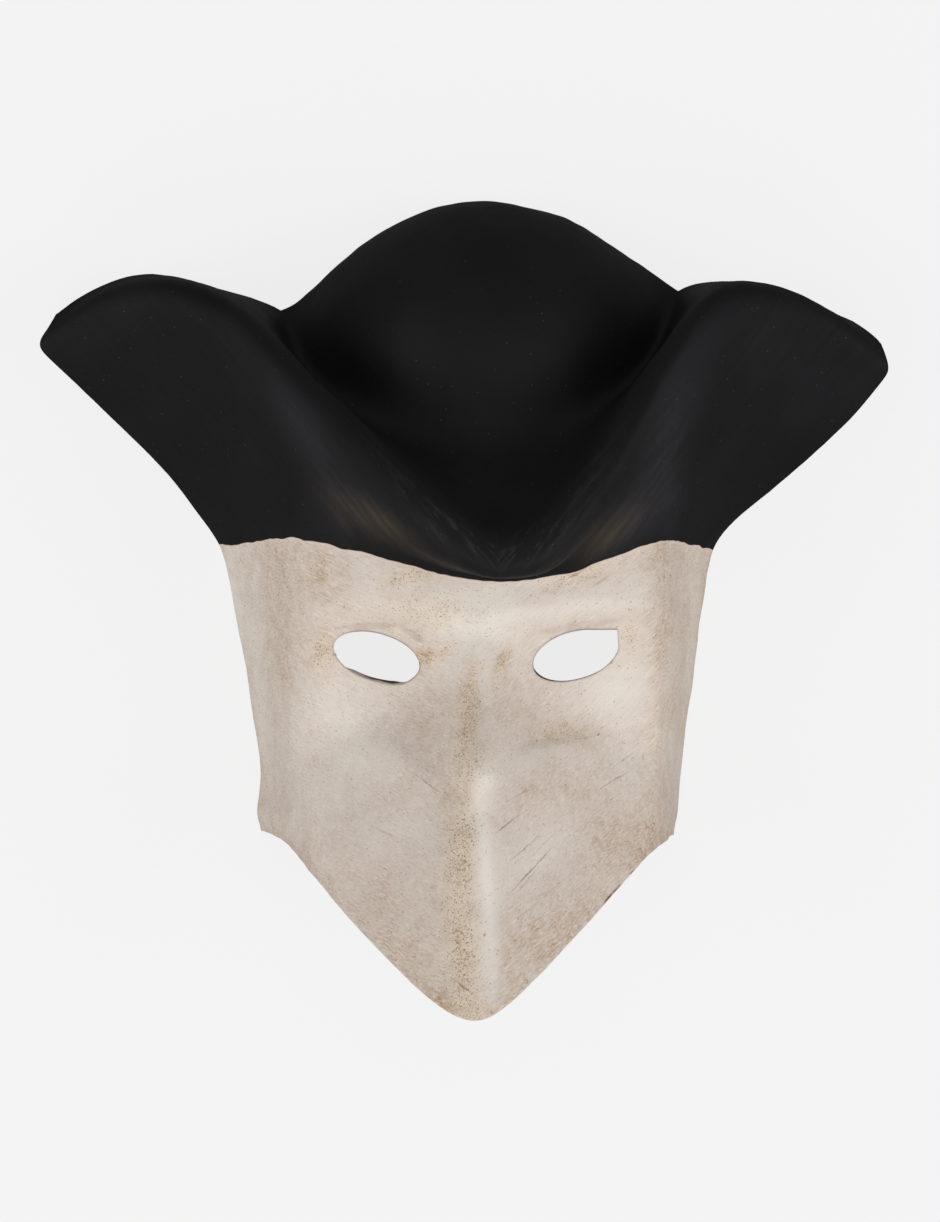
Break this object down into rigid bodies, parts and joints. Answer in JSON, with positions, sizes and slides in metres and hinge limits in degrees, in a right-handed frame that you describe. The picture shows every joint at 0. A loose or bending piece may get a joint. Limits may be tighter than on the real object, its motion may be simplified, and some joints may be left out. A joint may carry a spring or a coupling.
{
  "type": "bauta mask",
  "caption": "Full-face carnival mask with a jutting pointed chin, cut eye holes and a three-cornered hat, moulded as one open-backed papier-mache shell.",
  "frame": {"origin": "centre of the bounding box in plan, on the plane of the cheek rims and the crown rim, at the open back", "axes": "+X to the right of the face as a viewer sees it, +Y up the face towards the hat, +Z out of the front of the face; the mask lies on its open back"},
  "size_m": [0.29, 0.2726, 0.135],
  "materials": {
    "mask_shell": "papier-mache, primed with gesso, painted cream with a brown patina on the face and matt black on the hat"
  },
  "bodies": {
    "root": {"mask_shell": "mask_shell"}
  },
  "joints": []
}
